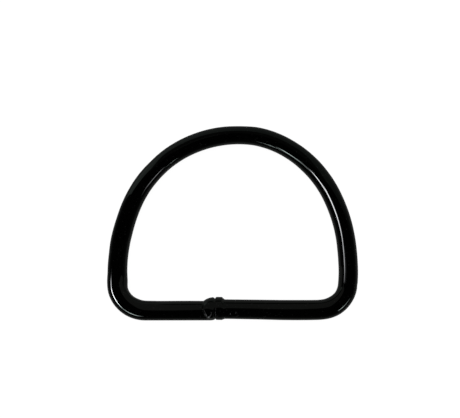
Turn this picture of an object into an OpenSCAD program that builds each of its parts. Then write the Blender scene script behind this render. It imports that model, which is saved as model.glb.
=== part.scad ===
// D ring of round wire, bent and butt-welded on its bar. It lies flat on z = 0, with the bar towards -Y.

/* [Opening] */
// Clear width inside the ring, which is the width of the strap that it takes
strap_w = 50; // [46:0.5:54]
// Clear height from the bar's inside face to the crown
opening_h = 40; // [38:0.5:50]
// How much smaller the crown's inside radius is than half the clear width
shoulder = 2; // [1:0.25:4]
// Height above the bar's inside face at which the ring is widest
belly_h = 9; // [6:0.5:11]
// Inside radius of the two lower bends
corner_r = 4.75; // [3:0.25:8]

/* [Wire] */
// Diameter of the wire over its coating
wire_d = 4.5; // [3:0.25:6]

/* [Weld] */
// Place of the weld along the bar, from the ring's middle
weld_x = -3.7; // [-10:0.1:10]
// How much further in the right half of the bar lies where it meets the left half
weld_step = 0.4; // [0:0.05:0.8]
// Bevel on the end of each half of the bar
end_bevel = 0.25; // [0.1:0.05:0.6]
// Gap between the two bevelled ends, under the lips
root_gap = 0.3; // [0.1:0.05:0.6]

/* [Lips] */
// How far the left lip stands proud of the left half's inside face
left_lip_h = 0.8; // [0.5:0.05:1.2]
// How far the right lip stands proud of the right half's inside face
right_lip_h = 0.5; // [0.3:0.05:1]
// Reach of the left lip from the seam to its foot
left_lip_l = 2.6; // [1.8:0.1:4]
// Reach of the right lip from the seam to its foot
right_lip_l = 2.7; // [2:0.1:4]
// Width of the groove between the lips
seam_w = 0.5; // [0.3:0.05:1]
// Depth of the groove below the lower lip
seam_depth = 0.4; // [0.1:0.05:0.6]
// How far the lips' own axis lies off the left half's axis, into the opening
lip_shift = 0.5; // [0.4:0.05:0.7]
// Angle of that shift above the plane of the ring
lip_tilt = 20; // [0:5:45]
// Height above the resting plane at which the lips' underside is dressed flat
dressed_z = 0.05; // [0.02:0.01:0.2]

/* [Clamp dent] */
// Distance of the dent from the seam, along the right half of the bar
dent_at = 4.6; // [3.5:0.1:8]
// Length of the dent along the wire
dent_l = 2; // [1:0.1:3]
// Depth of the dent
dent_depth = 0.2; // [0.05:0.05:0.4]
// Turn of the dent round the wire, from its top towards the outside of the ring
dent_turn = 42; // [0:1:90]

/* [Hidden] */
$fn = 96;

// The stretches of wire stop this much short of each tangent point, and a ball a hair proud joins them
joint_trim = 0.025;
joint_proud = 0.005;
// Depth of the lips' feet below the wire's surface
foot_depth = 0.1;
// Shoulders of the lips: the share of a lip's reach and the share of its height at the shoulder
SHOULDER_ALONG = 0;
SHOULDER_UP = 1;
left_shoulder = [0.58, 0.76];
right_shoulder = [0.6, 1];
enamel = [0.06, 0.065, 0.06];

wire_r = wire_d / 2;
// The wire's axis, measured from the bar's axis: half width at the widest, crown height and widest height
half_w = strap_w / 2 + wire_r;
crown_h = opening_h + wire_d;
belly_y = belly_h + wire_r;
// The arcs of the axis, each tangent to the next
crown_r = half_w - shoulder;
crown_c = [0, crown_h - crown_r];
rise = crown_c.y - belly_y;
side_r = half_w - shoulder / 2 + rise * rise / (2 * shoulder);
side_c = [half_w - side_r, belly_y];
bend_r = corner_r + wire_r;
bend_c = [side_c.x + sqrt(pow(side_r - bend_r, 2) - pow(belly_y - bend_r, 2)), bend_r];
crown_a = atan2(crown_c.y - side_c.y, crown_c.x - side_c.x);
side_a = atan2(bend_c.y - side_c.y, bend_c.x - side_c.x);
// The right half of the bar runs from the raised seam to where it touches the right bend
seam_p = [weld_x, weld_step];
seam_run = norm(bend_c - seam_p);
right_a = atan2(seam_p.y - bend_c.y, seam_p.x - bend_c.x) + acos(bend_r / seam_run);
right_l = sqrt(pow(seam_run, 2) - pow(bend_r, 2));
left_a = -90;
left_l = bend_c.x + weld_x;
// Radii of the lips about their own axis
left_lip_r = wire_r + left_lip_h - lip_shift;
right_lip_r = wire_r + weld_step + right_lip_h - lip_shift;
foot_r = wire_r - lip_shift - foot_depth;
groove_r = min(left_lip_r, right_lip_r) - seam_depth;
// Ball that presses the clamp dent
dent_r = (pow(dent_l / 2, 2) + pow(dent_depth, 2)) / (2 * dent_depth);
bar_y = wire_r - (opening_h + 2 * wire_d) / 2;

function on_arc(centre, radius, angle) = centre + radius * [cos(angle), sin(angle)];
function lip_up(lip_r, share) = foot_r + (lip_r - foot_r) * share;

// One bend of the wire, between two angles about its centre, short of both ends
module bend(centre, radius, from, to) {
    trim = joint_trim / radius * 180 / PI;
    translate(centre)
        rotate_extrude(angle = to - from - 2 * trim, start = from + trim)
            translate([radius, 0])
                circle(r = wire_r);
}

// The ball that joins two stretches at the end of a bend, with its poles along the wire
module joint(centre, radius, angle) {
    translate(on_arc(centre, radius, angle))
        rotate([0, 90, angle + 90])
            sphere(r = wire_r + joint_proud);
}

// One half of the bar, from its bend to its bevelled end at the seam
module bar_half(from, angle, length) {
    reach = length - root_gap / 2;
    translate(from)
        rotate([0, 90, angle - 90])
            rotate_extrude()
                polygon([
                    [0, joint_trim],
                    [wire_r, joint_trim],
                    [wire_r, reach - end_bevel],
                    [wire_r - end_bevel, reach],
                    [0, reach]
                ]);
}

// A side, a lower bend and a half of the bar, on the +X side
module side(end_a, bar_l) {
    joint(side_c, side_r, crown_a);
    bend(side_c, side_r, side_a, crown_a);
    joint(side_c, side_r, side_a);
    bend(bend_c, bend_r, end_a, side_a);
    joint(bend_c, bend_r, end_a);
    bar_half(on_arc(bend_c, bend_r, end_a), end_a, bar_l);
}

// The two lips of the weld and the groove between them, dressed flat where the ring rests
module lips() {
    slab = 4 * wire_d;
    left_in = seam_w / 2 + (left_lip_l - seam_w / 2) * left_shoulder[SHOULDER_ALONG];
    right_in = seam_w / 2 + (right_lip_l - seam_w / 2) * right_shoulder[SHOULDER_ALONG];
    difference() {
        translate([weld_x, lip_shift * cos(lip_tilt), lip_shift * sin(lip_tilt)])
            rotate([0, 90, 0])
                rotate_extrude()
                    polygon([
                        [0, -left_lip_l],
                        [foot_r, -left_lip_l],
                        [lip_up(left_lip_r, left_shoulder[SHOULDER_UP]), -left_in],
                        [left_lip_r, -seam_w / 2],
                        [groove_r, 0],
                        [right_lip_r, seam_w / 2],
                        [lip_up(right_lip_r, right_shoulder[SHOULDER_UP]), right_in],
                        [foot_r, right_lip_l],
                        [0, right_lip_l]
                    ]);
        translate([weld_x - slab / 2, -slab / 2, dressed_z - wire_r - slab])
            cube(slab);
    }
}

// The shallow dent that a welding clamp leaves beside the seam
module dent() {
    at = seam_p - dent_at * [cos(right_a - 90), sin(right_a - 90)];
    translate(at)
        rotate([dent_turn, 0, 0])
            translate([0, 0, wire_r - dent_depth + dent_r])
                sphere(r = dent_r);
}

module ring() {
    color(enamel)
        translate([0, bar_y, wire_r])
            difference() {
                union() {
                    bend(crown_c, crown_r, crown_a, 180 - crown_a);
                    side(right_a, right_l);
                    mirror([1, 0, 0])
                        side(left_a, left_l);
                    lips();
                }
                dent();
            }
}

ring();
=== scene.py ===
import math

import bmesh
import bpy
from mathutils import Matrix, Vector


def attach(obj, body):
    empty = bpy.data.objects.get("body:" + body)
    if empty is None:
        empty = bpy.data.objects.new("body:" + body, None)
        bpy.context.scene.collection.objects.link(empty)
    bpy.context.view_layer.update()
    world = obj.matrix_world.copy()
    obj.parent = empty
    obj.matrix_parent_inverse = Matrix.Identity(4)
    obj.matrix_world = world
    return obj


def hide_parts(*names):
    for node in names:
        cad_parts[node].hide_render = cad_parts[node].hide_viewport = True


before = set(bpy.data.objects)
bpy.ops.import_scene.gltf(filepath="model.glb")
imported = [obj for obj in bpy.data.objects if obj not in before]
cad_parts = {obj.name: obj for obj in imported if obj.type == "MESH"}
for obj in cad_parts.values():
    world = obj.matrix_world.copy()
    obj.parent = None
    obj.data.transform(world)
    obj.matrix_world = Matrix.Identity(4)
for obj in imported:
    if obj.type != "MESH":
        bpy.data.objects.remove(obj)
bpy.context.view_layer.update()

mm = 0.001
scene = bpy.context.scene
print("frame loaded:", sorted(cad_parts))


# small helpers, for working as by hand

def deselectAll():
    if bpy.context.mode != "OBJECT":
        bpy.ops.object.mode_set(mode="OBJECT")
    bpy.ops.object.select_all(action="DESELECT")


def makeActive(piece):
    deselectAll()
    bpy.context.view_layer.objects.active = piece
    piece.select_set(True)


def ease(share):
    share = max(0.0, min(1.0, share))
    return share * share * (3 - 2 * share)


def between(rows, at, column):
    # straight-line reading of a small table of (place, value, value ...)
    if at <= rows[0][0]:
        return rows[0][column]
    for low, high in zip(rows, rows[1:]):
        if at <= high[0]:
            share = (at - low[0]) / (high[0] - low[0])
            return low[column] + (high[column] - low[column]) * share
    return rows[-1][column]


def directionOf(azimuth, elevation):
    turn, rise = math.radians(azimuth), math.radians(elevation)
    level = math.cos(rise)
    return Vector((math.cos(turn) * level, math.sin(turn) * level, math.sin(rise)))


# the wire: bent to a D, its ends met in the weld

wire = {
    "strapWidth": 50.0,       # mm, as in the solid
    "openingHeight": 40.0,
    "shoulder": 2.0,
    "bellyHeight": 9.0,
    "cornerRadius": 4.75,
    "diameter": 4.5,
    "weldX": -3.7,
    "weldStep": 0.4,
    "sides": 120,
    "arcStep": 0.6,           # mm of wire between loops
    "barStep": 0.6,
    "fineStep": 0.07,         # closer loops at the weld and the clamp mark
    "seamGap": 0.07,
    "leftReach": 3.2,         # mm of close loops left and right of the seam
    "rightReach": 6.6,
    "barBelow": -15.0,        # nothing but the bar lies below this Y
    "fewestSteps": 4,         # of a spin, however short the arc
    "mergeWithin": 0.001,
}


def wireShape():
    # the arcs of the wire's axis, worked out as in the solid's source, then moved to the model's origin
    r = wire["diameter"] / 2
    halfWidth = wire["strapWidth"] / 2 + r
    crownHeight = wire["openingHeight"] + wire["diameter"]
    bellyY = wire["bellyHeight"] + r
    crownR = halfWidth - wire["shoulder"]
    crownC = Vector((0, crownHeight - crownR))
    rise = crownC.y - bellyY
    sideR = halfWidth - wire["shoulder"] / 2 + rise * rise / (2 * wire["shoulder"])
    sideC = Vector((halfWidth - sideR, bellyY))
    bendR = wire["cornerRadius"] + r
    bendIn = math.sqrt((sideR - bendR) ** 2 - (bellyY - bendR) ** 2)
    bendC = Vector((sideC.x + bendIn, bendR))
    crownA = math.atan2(crownC.y - sideC.y, crownC.x - sideC.x)
    sideA = math.atan2(bendC.y - sideC.y, bendC.x - sideC.x)
    seam = Vector((wire["weldX"], wire["weldStep"]))
    toBend = (bendC - seam).length
    rightA = math.atan2(seam.y - bendC.y, seam.x - bendC.x) + math.acos(bendR / toBend)
    rightLength = math.sqrt(toBend ** 2 - bendR ** 2)
    barY = r - (wire["openingHeight"] + 2 * wire["diameter"]) / 2
    return {
        "r": r, "crownR": crownR, "crownC": crownC, "sideR": sideR, "sideC": sideC, "bendR": bendR,
        "bendC": bendC, "crownA": crownA, "sideA": sideA, "seam": seam, "rightA": rightA,
        "rightLength": rightLength, "barY": barY,
    }


shape = wireShape()


def place(x, y, z=0.0):
    # mm on the bar's axis to metres in the model
    return Vector((x, y + shape["barY"], z + shape["r"])) * mm


def mirrored(centre):
    return Vector((-centre.x, centre.y))


def extrudeOn(step, count):
    for _ in range(count):
        bpy.ops.mesh.extrude_region_move(TRANSFORM_OT_translate={"value": step})


def spinOn(centre, angle, radius):
    steps = max(wire["fewestSteps"], round(abs(angle) * radius / wire["arcStep"]))
    bpy.ops.mesh.spin(steps=steps, angle=angle, center=place(*centre), axis=(0, 0, 1))


def extrudeAlong(direction, length, step):
    # a row of equal extrusions
    count = max(1, round(length / step))
    extrudeOn(tuple(direction * (length / count) * mm) + (0,), count)


def bendWire():
    s, gap = shape, wire["seamGap"]
    deselectAll()
    tilt = s["rightA"] + math.pi / 2
    along = Vector((math.cos(tilt), math.sin(tilt)))
    bpy.ops.mesh.primitive_circle_add(
        vertices=wire["sides"], radius=s["r"] * mm,
        location=place(*(s["seam"] + along * gap)), rotation=(0, math.pi / 2, tilt),
    )
    piece = bpy.context.active_object
    piece.name = piece.data.name = "dRing"
    bpy.ops.object.transform_apply(location=True, rotation=True, scale=True)
    bpy.ops.object.mode_set(mode="EDIT")
    bpy.ops.mesh.select_all(action="SELECT")
    # right half of the bar, out from the seam
    extrudeAlong(along, wire["rightReach"] - gap, wire["fineStep"])
    extrudeAlong(along, s["rightLength"] - wire["rightReach"], wire["barStep"])
    # right bend, right side, crown, left side, left bend
    spinOn(s["bendC"], s["rightA"] - s["sideA"], s["bendR"])
    spinOn(s["sideC"], s["sideA"] - s["crownA"], s["sideR"])
    spinOn(s["crownC"], 2 * s["crownA"] - math.pi, s["crownR"])
    spinOn(mirrored(s["sideC"]), s["sideA"] - s["crownA"], s["sideR"])
    spinOn(mirrored(s["bendC"]), -s["sideA"] - math.pi / 2, s["bendR"])
    # left half of the bar, in towards the seam
    inwards = Vector((1, 0))
    leftLength = s["bendC"].x + wire["weldX"]
    extrudeAlong(inwards, leftLength - wire["leftReach"], wire["barStep"])
    extrudeAlong(inwards, wire["leftReach"] - gap, wire["fineStep"])
    # the seam is closed: the first and the last loop are bridged
    selectSeamEnds(piece)
    bpy.ops.mesh.bridge_edge_loops(number_cuts=1, interpolation="LINEAR")
    bpy.ops.mesh.select_all(action="SELECT")
    bpy.ops.mesh.remove_doubles(threshold=wire["mergeWithin"] * mm)
    bpy.ops.mesh.normals_make_consistent(inside=False)
    bpy.ops.object.mode_set(mode="OBJECT")
    return piece


def selectSeamEnds(piece):
    # the two open loops, in edit mode
    mesh = bmesh.from_edit_mesh(piece.data)
    bpy.ops.mesh.select_mode(type="EDGE")
    bpy.ops.mesh.select_all(action="DESELECT")
    for edge in mesh.edges:
        if edge.is_boundary:
            edge.select_set(True)
    bmesh.update_edit_mesh(piece.data)


dRing = bendWire()
print("wire bent:", len(dRing.data.vertices), "vertices")


# the weld's lips and the clamp's mark, raised from the plain wire
# In each pair the first number is a turn round the wire, in degrees from its top towards the outside of
# the ring. Heights and distances are mm.
leftLip = {
    "height": [
        (-180, 0), (-165, 0), (-150, 0.10), (-120, 0.45), (-95, 0.80), (-75, 0.87), (-35, 0.70),
        (-5, 0.50), (20, 0.42), (45, 0.30), (55, 0.22), (60, 0.17), (65, 0.13), (70, 0.09),
        (75, 0.05), (85, 0), (180, 0),
    ],
    # how far the foot lies from the seam, and how squarely the lip falls to it
    "foot": [
        (-180, 2.2), (-95, 2.6), (-60, 2.7), (-35, 2.75), (3, 2.78), (24, 2.48), (43, 2.08),
        (60, 1.75), (75, 1.2), (90, 0.9), (180, 0.9),
    ],
    "power": [(-180, 2.5), (-60, 2.5), (-20, 4), (3, 9), (50, 12), (75, 4), (180, 2.5)],
    # what is left of the height at the seam, and how far the groove's slope reaches
    "seam": [
        (-180, 0.7), (-75, 0.68), (-50, 0.85), (-20, 0.9), (5, 0.6), (15, 0.45), (50, 0.3), (180, 0.3),
    ],
    "slope": 0.45,
    # the fold on the lip: distance of its slope from the seam, its height and the slope's width
    "foldAt": [(0, 1.05), (10, 0.98), (30, 0.60), (38, 0.80), (48, 1.14), (63, 1.75), (75, 1.9)],
    "foldHeight": [
        (0, 0), (8, 0.04), (30, 0.07), (38, 0.12), (46, 0.17), (52, 0.17), (58, 0.14), (62, 0.11),
        (66, 0.07), (72, 0.03), (80, 0),
    ],
    "foldWidth": [(0, 0.22), (32, 0.3), (45, 0.8), (63, 0.8)],
}
rightLip = {
    "height": [
        (-180, 0), (-165, 0), (-150, 0.05), (-120, 0.30), (-95, 0.47), (-75, 0.55), (-35, 0.48),
        (-5, 0.40), (25, 0.34), (55, 0.26), (80, 0.22), (105, 0.26), (130, 0.16), (150, 0.04),
        (165, 0), (180, 0),
    ],
    "flatTo": 1.5,            # mm from the seam where the lip starts to fall
    "foot": 2.3,
    "seam": [(-180, 0.5), (-75, 0.4), (-50, 0.8), (-20, 0.9), (5, 0.6), (90, 0.4), (180, 0.3)],
    "slope": 0.35,
}
# Drops of metal: place along the bar from the seam, turn, half length, half width, slant from the wire's
# own direction, height
bumps = [
    (3.88, 43, 0.38, 0.38, 0, 0.09),
    (5.43, 50, 0.70, 0.18, -44, 0.08),
    (0.19, 64, 0.30, 0.22, 20, 0.06),
    (-2.48, 7, 0.22, 0.22, 0, 0.05),
    (2.25, 15, 0.35, 0.18, -30, 0.04),
    (1.71, 35, 0.35, 0.18, -30, 0.03),
    (-0.15, -25, 0.6, 0.5, 0, 0.04),
    (0.6, 47, 0.6, 0.5, 0, 0.12),
]
# Round dents with a raised rim, the clamp's mark first: place along the bar from the seam, turn, radius,
# depth, rim's height, rim's half width
dents = [
    (4.66, 41.5, 0.75, 0.14, 0.045, 0.16),
    (0.05, 20, 0.45, 0.06, 0.06, 0.14),
]
# The notch that the seam leaves on the outside
notch = {"turn": 100, "wide": 30, "reach": 0.22, "depth": 0.10}
# The left half's end, worn round on the outside before the seam
wornEnd = {"turn": 114, "wide": 26, "reach": 0.9, "depth": 0.17}


def lipHeight(lip, distance, turn):
    height = between(lip["height"], turn, 1)
    left = between(lip["seam"], turn, 1)
    groove = left + (1 - left) * ease(distance / lip["slope"])
    if lip is leftLip:
        share = min(1.0, distance / between(lip["foot"], turn, 1))
        height *= 1 - share ** between(lip["power"], turn, 1)
        width = between(lip["foldWidth"], turn, 1)
        past = between(lip["foldAt"], turn, 1) + width / 2 - distance
        fold = between(lip["foldHeight"], turn, 1) * ease(past / width)
        return (height + fold) * groove
    return height * groove * (1 - ease((distance - lip["flatTo"]) / (lip["foot"] - lip["flatTo"])))


def fromSpot(along, turn, spotAlong, spotTurn):
    # mm along and mm round the wire from a spot's middle
    return along - spotAlong, math.radians(turn - spotTurn) * shape["r"]


def reliefAt(along, turn):
    height = lipHeight(leftLip if along < 0 else rightLip, abs(along), turn)
    for spotAlong, spotTurn, length, width, slant, rise in bumps:
        beside, around = fromSpot(along, turn, spotAlong, spotTurn)
        c, s = math.cos(math.radians(slant)), math.sin(math.radians(slant))
        share = ((beside * c + around * s) / length) ** 2 + ((around * c - beside * s) / width) ** 2
        if share < 1:
            height += rise * (1 - share) ** 2
    for spotAlong, spotTurn, radius, depth, rim, rimWidth in dents:
        away = math.hypot(*fromSpot(along, turn, spotAlong, spotTurn))
        height -= depth * ease(1 - away / radius)
        height += rim * math.exp(-((away - radius) / rimWidth) ** 2)
    side = (turn - notch["turn"]) / notch["wide"]
    height -= notch["depth"] * math.exp(-side ** 2 - (along / notch["reach"]) ** 2)
    if -wornEnd["reach"] < along < 0:
        side = (turn - wornEnd["turn"]) / wornEnd["wide"]
        height -= wornEnd["depth"] * math.exp(-side ** 2) * (1 + along / wornEnd["reach"])
    return height


def raiseRelief(piece):
    # moves the bar's vertices out from the wire's axis, by the height at their place
    seam, slant = shape["seam"], shape["rightA"] + math.pi / 2
    for vert in piece.data.vertices:
        x, y, z = vert.co / mm
        along = x - seam.x
        if not -wire["leftReach"] < along < wire["rightReach"] or y > wire["barBelow"]:
            continue
        axisY = shape["barY"] + (0 if along < 0 else seam.y + along * math.tan(slant))
        out, up = y - axisY, z - shape["r"]
        turn = math.degrees(math.atan2(-out, up))
        length = math.hypot(out, up)
        grown = (length + reliefAt(along, turn)) / length
        vert.co = Vector((x, axisY + out * grown, shape["r"] + up * grown)) * mm
    piece.data.update()


raiseRelief(dRing)
print("weld raised")


# The bends aren't quite even: mm along the wire from the seam, clockwise, then how much further out the
# outside lies and how much further in the inside lies than in the plain wire, in mm
uneven = [
    (0, 0, 0), (7, 0, 0.05), (13, 0, 0.03), (16, 0, 0.10),
    # left bend
    (19, 0, 0.22), (22, 0.04, 0.13), (25, 0.14, 0.10), (27.5, 0.13, 0.26), (29.5, 0, 0.2),
    # left side
    (33, -0.01, 0.15), (34.5, 0, 0.16), (37, 0.11, 0.16), (40, 0.12, 0.18), (43, 0.12, 0.10),
    (46, 0.23, 0.02), (49, 0.26, -0.05), (52, 0.21, -0.02), (55, 0.11, 0.10), (58, -0.03, 0.13),
    # crown
    (62, 0.02, 0.16), (70, 0, 0.19), (76, 0.02, 0.11), (80, -0.01, 0), (82, 0.05, -0.06),
    (85, 0.24, -0.14), (88, 0.22, -0.10), (91, 0.13, -0.04), (95, 0, 0.07), (100, -0.06, 0.18),
    # right side
    (104, -0.07, 0.13), (109, 0.03, -0.01), (117, 0.01, 0), (121, -0.05, 0.05), (124, -0.08, 0.12),
    (127, -0.07, 0.10), (130, 0.01, 0),
    # right bend and bar
    (133, 0.06, -0.05), (136, 0.09, -0.14), (139, 0.10, 0.06), (142, -0.10, 0.20), (145, 0.01, 0.12),
    (148, 0.07, 0.08), (151, 0.09, 0.04), (157, 0.02, 0.03), (163, 0, 0), (180, 0, 0),
]
outsideColumn, insideColumn = 1, 2
unevenStep = 0.5              # mm between the axis points that a place is measured from
shortest = 1e-6               # mm, a stretch of axis shorter than this is skipped


def axisPoints():
    # points of the wire's axis, from the seam clockwise round and back to it
    s = shape
    arcs = [
        (mirrored(s["bendC"]), s["bendR"], -math.pi / 2, -math.pi - s["sideA"]),
        (mirrored(s["sideC"]), s["sideR"], -math.pi - s["sideA"], -math.pi - s["crownA"]),
        (s["crownC"], s["crownR"], -math.pi - s["crownA"], s["crownA"] - 2 * math.pi),
        (s["sideC"], s["sideR"], s["crownA"], s["sideA"]),
        (s["bendC"], s["bendR"], s["sideA"], s["rightA"]),
    ]
    points = [Vector((wire["weldX"], 0))]
    for centre, radius, start, end in arcs:
        count = max(2, round(abs(end - start) * radius / unevenStep))
        for step in range(count + 1):
            angle = start + (end - start) * step / count
            points.append(centre + Vector((math.cos(angle), math.sin(angle))) * radius)
    points.append(s["seam"])
    return points


def nearestOnAxis(points, lengths, spot):
    # for the place on the axis nearest to a spot: the length so far, the way out of the ring there, and
    # how many mm out the spot lies
    best, bestAway = None, math.inf
    for first, second, before in zip(points, points[1:], lengths):
        run = second - first
        reach = run.length
        if reach < shortest:
            continue
        share = max(0.0, min(1.0, (spot - first).dot(run) / reach ** 2))
        away = spot - (first + run * share)
        if away.length < bestAway:
            bestAway = away.length
            outwards = Vector((-run.y, run.x))
            best = (before + share * reach, outwards / reach, away.dot(outwards) / reach)
    return best


def unevenBends(piece):
    # each loop of the wire is moved and widened in the ring's own plane
    points = axisPoints()
    lengths = [0.0]
    for first, second in zip(points, points[1:]):
        lengths.append(lengths[-1] + (second - first).length)
    known = {}
    for vert in piece.data.vertices:
        spot = Vector((vert.co.x / mm, vert.co.y / mm - shape["barY"]))
        key = (round(spot.x, 2), round(spot.y, 2))
        if key not in known:
            known[key] = nearestOnAxis(points, lengths, spot)
        length, outwards, out = known[key]
        share = (out / shape["r"] + 1) / 2
        move = between(uneven, length, outsideColumn) * share
        move -= between(uneven, length, insideColumn) * (1 - share)
        vert.co += outwards.to_3d() * move * mm
    piece.data.update()


unevenBends(dRing)
makeActive(dRing)
bpy.ops.object.shade_smooth()
print("bends made uneven")


# the black enamel
enamel = {
    "black": (0.00010, 0.00011, 0.00010, 1),
    "gloss": 1.5,             # IOR
    # smoother and duller clouds
    "roughLow": 0.012,
    "roughHigh": 0.04,
    "cloudScale": 240.0,      # per metre, as the other scales
    "cloudDetail": 4.0,
    "cloudMix": 0.6,
    # orange peel
    "peelScale": 620.0,
    "peelDetail": 2.0,
    "peelMix": 0.5,
    "peelHeight": 0.010,      # mm
    "peelStrength": 0.2,
    # dust: a speck of this size in the cells above this share
    "dust": (0.006, 0.006, 0.006, 1),
    "dustScale": 2600.0,
    "dustSize": 0.28,
    "dustAbove": 0.86,
}
mixFirst, mixSecond, mixResult = 6, 7, 2   # the colour sockets of a Mix node


def addNode(tree, kind, **values):
    node = tree.nodes.new(kind)
    for name, value in values.items():
        if hasattr(node, name):
            setattr(node, name, value)
        else:
            node.inputs[name].default_value = value
    return node


def addMath(tree, operation, *values):
    # each value is a number, or an output to link
    node = addNode(tree, "ShaderNodeMath", operation=operation)
    for socket, value in zip(node.inputs, values):
        if isinstance(value, (int, float)):
            socket.default_value = value
        else:
            tree.links.new(value, socket)
    return node.outputs[0]


def makeEnamel():
    material = bpy.data.materials.new("blackEnamel")
    material.use_nodes = True
    tree = material.node_tree
    paint = tree.nodes["Principled BSDF"]
    link = tree.links.new
    coords = addNode(tree, "ShaderNodeTexCoord")
    cloud = addNode(tree, "ShaderNodeTexNoise", Scale=enamel["cloudScale"],
                    Detail=enamel["cloudDetail"], Roughness=enamel["cloudMix"])
    fine = addNode(tree, "ShaderNodeTexNoise", Scale=enamel["peelScale"],
                   Detail=enamel["peelDetail"], Roughness=enamel["peelMix"])
    specks = addNode(tree, "ShaderNodeTexVoronoi", Scale=enamel["dustScale"])
    for node in (cloud, fine, specks):
        link(coords.outputs["Object"], node.inputs["Vector"])
    near = addMath(tree, "LESS_THAN", specks.outputs["Distance"], enamel["dustSize"])
    pick = addNode(tree, "ShaderNodeSeparateColor")
    link(specks.outputs["Color"], pick.inputs[0])
    few = addMath(tree, "GREATER_THAN", pick.outputs[0], enamel["dustAbove"])
    both = addMath(tree, "MULTIPLY", near, few)
    shade = addNode(tree, "ShaderNodeMix", data_type="RGBA")
    shade.inputs[mixFirst].default_value = enamel["black"]
    shade.inputs[mixSecond].default_value = enamel["dust"]
    link(both, shade.inputs[0])
    link(shade.outputs[mixResult], paint.inputs["Base Color"])
    rough = addNode(tree, "ShaderNodeMapRange")
    rough.inputs["To Min"].default_value = enamel["roughLow"]
    rough.inputs["To Max"].default_value = enamel["roughHigh"]
    link(cloud.outputs["Fac"], rough.inputs["Value"])
    link(rough.outputs["Result"], paint.inputs["Roughness"])
    peel = addNode(tree, "ShaderNodeBump", Strength=enamel["peelStrength"],
                   Distance=enamel["peelHeight"] * mm)
    link(fine.outputs["Fac"], peel.inputs["Height"])
    link(peel.outputs["Normal"], paint.inputs["Normal"])
    paint.inputs["IOR"].default_value = enamel["gloss"]
    return material


dRing.data.materials.clear()
dRing.data.materials.append(makeEnamel())


# the studio: a pale floor, even white light on it, and what the gloss of the wire sees
white = (1, 1, 1, 1)
studio = {
    # a lit table: it glows evenly and is hardly shaded
    "floorSize": 6,           # metres
    "floorGlow": 0.94,
    "floorShade": 0.12,
    "floorRoughness": 0.9,
    "skyStrength": 1.0,
    # what the gloss sees: height of its direction, less a share of how far back it looks, and brightness
    "backShare": 0.35,
    "duskTint": (0.96, 1.0, 0.97, 1),
    "dusk": [(-1.0, 0.16), (-0.5, 0.15), (-0.34, 0.10), (-0.2, 0.06), (-0.05, 0.035), (0.1, 0.020),
             (0.2, 0.014), (0.37, 0.006), (0.55, 0.003), (1.0, 0.003)],
}


def setCurve(curve, rows):
    # straight lines through the rows
    line = curve.mapping.curves[0]
    line.points[0].location, line.points[1].location = rows[0], rows[-1]
    for row in rows[1:-1]:
        line.points.new(*row)
    for point in line.points:
        point.handle_type = "VECTOR"
    curve.mapping.update()


def makeFloor():
    deselectAll()
    bpy.ops.mesh.primitive_plane_add(size=studio["floorSize"], location=(0, 0, 0))
    floor = bpy.context.active_object
    floor.name = "floor"
    material = bpy.data.materials.new("paleFloor")
    material.use_nodes = True
    paint = material.node_tree.nodes["Principled BSDF"]
    tone = studio["floorShade"]
    paint.inputs["Base Color"].default_value = (tone, tone, tone, 1)
    paint.inputs["Emission Color"].default_value = white
    paint.inputs["Emission Strength"].default_value = studio["floorGlow"]
    paint.inputs["Roughness"].default_value = studio["floorRoughness"]
    paint.inputs["Specular IOR Level"].default_value = 0.0
    floor.data.materials.append(material)
    floor.visible_glossy = False
    floor.visible_shadow = False


def makeWorld():
    world = bpy.data.worlds.new("studio")
    scene.world = world
    world.use_nodes = True
    tree = world.node_tree
    tree.nodes.clear()
    link = tree.links.new
    path = addNode(tree, "ShaderNodeLightPath")
    coords = addNode(tree, "ShaderNodeTexCoord")
    split = addNode(tree, "ShaderNodeSeparateXYZ")
    link(coords.outputs["Generated"], split.inputs[0])
    back = addMath(tree, "MULTIPLY", split.outputs["Y"], -studio["backShare"])
    rise = addMath(tree, "ADD", back, split.outputs["Z"])
    share = addNode(tree, "ShaderNodeMapRange")
    share.inputs["From Min"].default_value = -1.0   # straight down
    link(rise, share.inputs["Value"])
    dusk = addNode(tree, "ShaderNodeFloatCurve")
    setCurve(dusk, [((at + 1) / 2, value) for at, value in studio["dusk"]])
    link(share.outputs["Result"], dusk.inputs["Value"])
    plain = addNode(tree, "ShaderNodeBackground", Strength=studio["skyStrength"])
    plain.inputs["Color"].default_value = white
    gloss = addNode(tree, "ShaderNodeBackground")
    gloss.inputs["Color"].default_value = studio["duskTint"]
    link(dusk.outputs[0], gloss.inputs["Strength"])
    either = addNode(tree, "ShaderNodeMixShader")
    link(path.outputs["Is Glossy Ray"], either.inputs[0])
    link(plain.outputs[0], either.inputs[1])
    link(gloss.outputs[0], either.inputs[2])
    out = addNode(tree, "ShaderNodeOutputWorld")
    link(either.outputs[0], out.inputs["Surface"])


makeFloor()
makeWorld()

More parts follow.
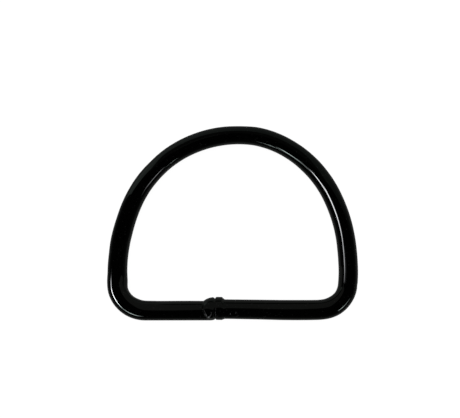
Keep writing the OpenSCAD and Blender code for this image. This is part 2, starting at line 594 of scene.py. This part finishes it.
# Chains of small lamps, each lamp seen by its own stretch of the wire. Rows: aim point in mm, azimuth
# and elevation from there, brightness, share of the greenish tint. From each row to the next go perStep
# lamps, so the last row only ends a chain. Distance and lamp size (across) are mm, spread is degrees.
glints = {
    "gain": 2.79e-5,          # makes a brightness of 1 as bright as white on the enamel
    "white": (0.98, 1.0, 1.03),
    "green": (0.84, 1.0, 0.96),
    "chains": {
        "rightArch": {"perStep": 4, "distance": 80, "across": 9, "spread": 22, "rows": [
            (12.0, 17.4, 3.8, -133.8, 18.0, 0.3, 1), (13.0, 16.7, 3.8, -138, 16.6, 2.6, 1),
            (14.1, 15.9, 3.8, -142, 15.5, 3.1, 1), (16.3, 14.2, 3.9, -150, 19.5, 3.2, 1),
            (19.0, 11.6, 4.0, -162.6, 32.5, 0.6, 0.2), (20.2, 10.0, 4.1, -169.5, 36, 9.6, 0),
            (21.6, 7.6, 4.2, -177, 36.4, 2.4, 0), (23.0, 5.0, 4.3, 176.5, 41.5, 6.4, 0),
            (24.1, 2.3, 4.3, 172, 42.5, 6.2, 0), (24.9, -0.5, 4.3, 169, 42.5, 4.4, 0),
            (25.6, -3.4, 4.3, 164.6, 43, 1.1, 0), (26.0, -6.3, 4.3, 162, 43, 2.2, 0),
            (26.3, -9.2, 4.3, 157, 46, 0.08, 0), (26.5, -12.1, 4.4, 152, 54, 0.08, 0),
            (26.6, -14.0, 4.4, 148, 58, 0.07, 0), (26.6, -15.4, 4.4, 145, 61, 0.0, 0),
        ]},
        "leftBend": {"perStep": 7, "distance": 80, "across": 9, "spread": 10, "rows": [
            (-20.5, -24.0, 3.7, -104, 4, 0.9, 1), (-22.9, -23.4, 3.8, -124, 6.5, 12, 1),
            (-25.0, -22.1, 3.9, -143.5, 10.5, 3.8, 1), (-26.6, -20.3, 4.1, -162, 18.3, 36, 0.3),
            (-27.6, -18.2, 4.2, -179, 22.2, 24, 0), (-28.0, -16.0, 4.2, 168.5, 23.8, 4.8, 0),
            (-28.1, -13.9, 4.3, 164.4, 27, 0.0, 0),
        ]},
        "leftArch": {"perStep": 3, "distance": 80, "across": 9, "spread": 22, "rows": [
            (-20.8, 8.3, 3.8, -14, 19.0, 0.3, 0), (-20.2, 9.3, 3.8, -17, 18.4, 0.7, 0),
            (-19.1, 10.8, 3.8, -23, 15.0, 1.65, 0), (-17.9, 12.3, 3.7, -29, 13.0, 1.3, 0),
            (-17.3, 13.0, 3.7, -32, 14.0, 0.4, 0),
        ]},
        "rightBend": {"perStep": 5, "distance": 30, "across": 3.4, "spread": 22, "rows": [
            (27.1, -19.9, 3.8, -18, 6, 0.3, 1), (26.6, -20.9, 3.8, -27, 6, 1.3, 1),
            (25.7, -21.8, 3.7, -37, 5, 3.0, 1), (25.1, -22.3, 3.7, -44, 4.5, 2.7, 1),
            (24.5, -22.7, 3.7, -51, 4, 1.3, 1),
        ]},
        "leftFoot": {"perStep": 3, "distance": 25, "across": 2.2, "spread": 9, "rows": [
            (-6.25, -22.55, 4.8, -172, 0, 0.35, 0), (-6.1, -22.8, 4.8, -158, 12, 0.0, 0),
            (-6.0, -23.1, 4.7, -151, 10, 0.6, 0), (-5.85, -23.4, 4.5, -140, -4, 0.1, 0),
            (-5.6, -23.8, 4.2, -131, -13, 0.08, 0),
        ]},
        "fold": {"perStep": 1, "distance": 12, "across": 4.5, "spread": 34, "rows": [
            (-4.5, -24.0, 4.3, -137, 30, 0.8, 0), (-4.7, -24.1, 4.1, -126, 8, 2.2, 0),
            (-4.9, -24.2, 4.0, -124, -8, 2.8, 0), (-5.2, -24.3, 3.6, -126, -20, 0, 0),
        ]},
        "crater": {"perStep": 1, "distance": 12, "across": 4.0, "spread": 24, "rows": [
            (-3.3, -22.8, 4.7, -153, 25, 1.3, 0), (-3.4, -23.1, 4.5, -146, 30, 0, 0),
        ]},
        "clamp": {"perStep": 1, "distance": 12, "across": 2.8, "spread": 24, "rows": [
            (0.0, -23.5, 3.9, -135, 2, 2.8, 0), (1.4, -23.1, 4.2, -117, 13, 0.45, 0),
            (1.8, -23.7, 3.7, -125, -15, 0, 0),
        ]},
    },
}


def showToGlossOnly(thing):
    thing.visible_camera = False
    thing.visible_diffuse = False
    thing.visible_transmission = False
    thing.visible_volume_scatter = False
    thing.visible_shadow = False


def placeGlint(name, aim, away, chain, strength, greenShare):
    size = chain["across"] * mm
    data = bpy.data.lights.new(name, "AREA")
    data.shape = "DISK"
    data.size = size
    data.spread = math.radians(chain["spread"])
    data.color = [w + (g - w) * greenShare for w, g in zip(glints["white"], glints["green"])]
    # a wider lamp or spread needs more power to look as bright
    data.energy = strength * glints["gain"] * (math.pi * size / 2 * chain["spread"]) ** 2
    lamp = bpy.data.objects.new(name, data)
    scene.collection.objects.link(lamp)
    lamp.location = aim * mm + away * chain["distance"] * mm
    lamp.rotation_mode = "QUATERNION"
    lamp.rotation_quaternion = away.to_track_quat("Z", "Y")
    showToGlossOnly(lamp)


def makeGlints():
    count = 0
    for name, chain in glints["chains"].items():
        for pair in zip(chain["rows"], chain["rows"][1:]):
            ends = [
                (Vector((x, y, z)), directionOf(azimuth, elevation), strength, green)
                for x, y, z, azimuth, elevation, strength, green in pair
            ]
            for step in range(chain["perStep"]):
                share = step / chain["perStep"]
                aim, away, strength, green = (a + (b - a) * share for a, b in zip(*ends))
                placeGlint(f"{name}{count:02d}", aim, away.normalized(), chain, strength, green)
                count += 1
    return count


glintCount = makeGlints()

# The dim panel behind the crown, level over the ring: azimuth and distance of its near edge in mm
panel = {
    "height": 60.0,
    "nearEdge": [
        (145, 84), (142.9, 80), (137.5, 63.7), (132, 55.2), (125.5, 43), (121.3, 32.8), (115.6, 27.7),
        (110, 23.4), (104, 20.6), (99.5, 24.3), (92, 30), (85, 35), (80, 34), (75.5, 32), (66.4, 35),
        (59.5, 39.4), (51.8, 42), (41.6, 58), (35.9, 71.6), (28, 102), (15, 160),
    ],
    "farEdge": 800.0,
    # brightness by azimuth, and how much brighter it is far away
    "byAzimuth": [
        (0, 0.01), (20, 0.02), (25, 0.025), (30, 0.045), (35, 0.066), (40, 0.08), (45, 0.09),
        (51, 0.10), (60, 0.108), (80, 0.108), (90, 0.124), (95, 0.138), (104, 0.150), (109, 0.172),
        (118, 0.186), (123, 0.200), (128, 0.235), (133, 0.27), (139, 0.29), (145, 0.25), (180, 0.25),
    ],
    "farGain": 1.2,
    "gainFrom": 60.0,
    "gainTo": 290.0,
    "tint": (0.89, 1.05, 0.96),
}
# Cards round the bar, each a part of a tube's wall. Edges: place along the bar in mm, then both edges in
# degrees, from the outside, level, up over the bar
barCards = {
    "rows": 16,
    "tint": (0.97, 1.02, 0.945),
    "upper": {
        "radius": 11.0,
        "edges": [
            (-24.1, 114, 124), (-23.7, 103, 136), (-23.1, 93, 146), (-22.4, 87, 152), (-21.6, 82, 156),
            (-20.3, 79, 157), (-19, 78, 157), (-17.5, 77.5, 147), (-16, 77, 141), (-14, 77, 140),
            (-10, 81, 140), (-7, 85, 140), (0, 87, 140), (6, 87, 140), (8, 84.5, 140), (16, 85, 141),
            (18, 88, 142), (20, 90, 145), (21, 91, 144), (22, 92, 139), (23.4, 93, 134),
            (24.0, 98, 129), (24.5, 110, 121),
        ],
        "glow": 0.124,
    },
    "gap": {
        "radius": 60.0,
        "edges": [
            (-28, 152, 159), (-26, 143, 160), (-24, 138, 160), (20, 138, 160), (23, 138, 160),
            (25, 142, 158),
        ],
        "glow": 0.030,
    },
    "strip": {
        "radius": 11.0,
        "edges": [
            (-18.5, 174, 177), (-17, 168, 180), (-15, 160, 181), (18, 160, 181), (20, 162, 181),
            (22, 166, 180), (23, 172, 178),
        ],
        "glow": 0.140,
    },
}


def glowMaterial(name, tint, strength=1.0):
    # the front glows and the back is clear
    material = bpy.data.materials.new(name)
    material.use_nodes = True
    tree = material.node_tree
    tree.nodes.clear()
    glow = addNode(tree, "ShaderNodeEmission", Strength=strength)
    glow.inputs["Color"].default_value = tuple(tint) + (1,)
    side = addNode(tree, "ShaderNodeNewGeometry")
    clear = addNode(tree, "ShaderNodeBsdfTransparent")
    either = addNode(tree, "ShaderNodeMixShader")
    out = addNode(tree, "ShaderNodeOutputMaterial")
    tree.links.new(side.outputs["Backfacing"], either.inputs[0])
    tree.links.new(glow.outputs[0], either.inputs[1])
    tree.links.new(clear.outputs[0], either.inputs[2])
    tree.links.new(either.outputs[0], out.inputs["Surface"])
    return material


def faceTowards(card, point):
    middle = card.data.polygons[len(card.data.polygons) // 2]
    if middle.normal.dot(point - middle.center) < 0:
        card.data.flip_normals()


def shadePanel(material):
    # its brightness follows the azimuth from the ring's middle, and the distance
    tree = material.node_tree
    coords = addNode(tree, "ShaderNodeTexCoord")
    split = addNode(tree, "ShaderNodeSeparateXYZ")
    tree.links.new(coords.outputs["Object"], split.inputs[0])
    angle = addMath(tree, "ARCTAN2", split.outputs["Y"], split.outputs["X"])
    share = addMath(tree, "DIVIDE", angle, math.pi)
    curve = addNode(tree, "ShaderNodeFloatCurve")
    setCurve(curve, [(azimuth / 180, value) for azimuth, value in panel["byAzimuth"]])
    tree.links.new(share, curve.inputs["Value"])
    distance = addNode(tree, "ShaderNodeVectorMath", operation="LENGTH")
    tree.links.new(coords.outputs["Object"], distance.inputs[0])
    gain = addNode(tree, "ShaderNodeMapRange")
    gain.inputs["From Min"].default_value = panel["gainFrom"] * mm
    gain.inputs["From Max"].default_value = panel["gainTo"] * mm
    gain.inputs["To Min"].default_value = 1.0
    gain.inputs["To Max"].default_value = panel["farGain"]
    tree.links.new(distance.outputs["Value"], gain.inputs["Value"])
    product = addMath(tree, "MULTIPLY", curve.outputs[0], gain.outputs["Result"])
    tree.links.new(product, tree.nodes["Emission"].inputs["Strength"])


def addGrid(name, table, rows):
    # a grid from -1 to 1 each way, with a column of points for each row of the table
    deselectAll()
    bpy.ops.mesh.primitive_grid_add(x_subdivisions=len(table) - 1, y_subdivisions=rows, size=2)
    card = bpy.context.active_object
    card.name = name
    return card


def rowOf(table, vert):
    return table[round((vert.co.x + 1) / 2 * (len(table) - 1))]


def makePanel():
    card = addGrid("backPanel", panel["nearEdge"], 1)
    for vert in card.data.vertices:
        azimuth, near = rowOf(panel["nearEdge"], vert)
        distance = near if vert.co.y < 0 else panel["farEdge"]
        turn = math.radians(azimuth)
        vert.co = Vector((math.cos(turn) * distance, math.sin(turn) * distance, panel["height"])) * mm
    faceTowards(card, Vector((0, 0, 0)))
    material = glowMaterial("panelGlow", panel["tint"])
    shadePanel(material)
    card.data.materials.append(material)
    showToGlossOnly(card)


def makeBarCard(name):
    values = barCards[name]
    edges, radius = values["edges"], values["radius"]
    card = addGrid(name + "Card", edges, barCards["rows"])
    for vert in card.data.vertices:
        along, first, last = rowOf(edges, vert)
        turn = math.radians(first + (last - first) * (vert.co.y + 1) / 2)
        vert.co = place(along, -math.cos(turn) * radius, math.sin(turn) * radius)
    faceTowards(card, place(0, 0))
    card.data.materials.append(glowMaterial(name + "Glow", barCards["tint"], values["glow"]))
    showToGlossOnly(card)


makePanel()
for cardName in ("upper", "gap", "strip"):
    makeBarCard(cardName)
print("lights set:", glintCount, "glints, panel and cards")


# the camera, as the photograph looks at the ring
view = {
    "place": (17.75, -80.86, 226.53),   # mm
    "turn": (20.480, 4.320, 1.010),     # degrees
    "lens": 78.26,
    "sensor": 36.0,
    "nearest": 0.01,                    # metres
    "farthest": 20.0,
}


def makeCamera():
    data = bpy.data.cameras.new("camera")
    data.lens = view["lens"]
    data.sensor_width = view["sensor"]
    data.clip_start = view["nearest"]
    data.clip_end = view["farthest"]
    camera = bpy.data.objects.new("camera", data)
    scene.collection.objects.link(camera)
    camera.location = Vector(view["place"]) * mm
    camera.rotation_euler = [math.radians(a) for a in view["turn"]]
    scene.camera = camera


makeCamera()
scene.view_settings.view_transform = "Standard"
scene.view_settings.look = "None"

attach(dRing, "root")
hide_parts("ring")
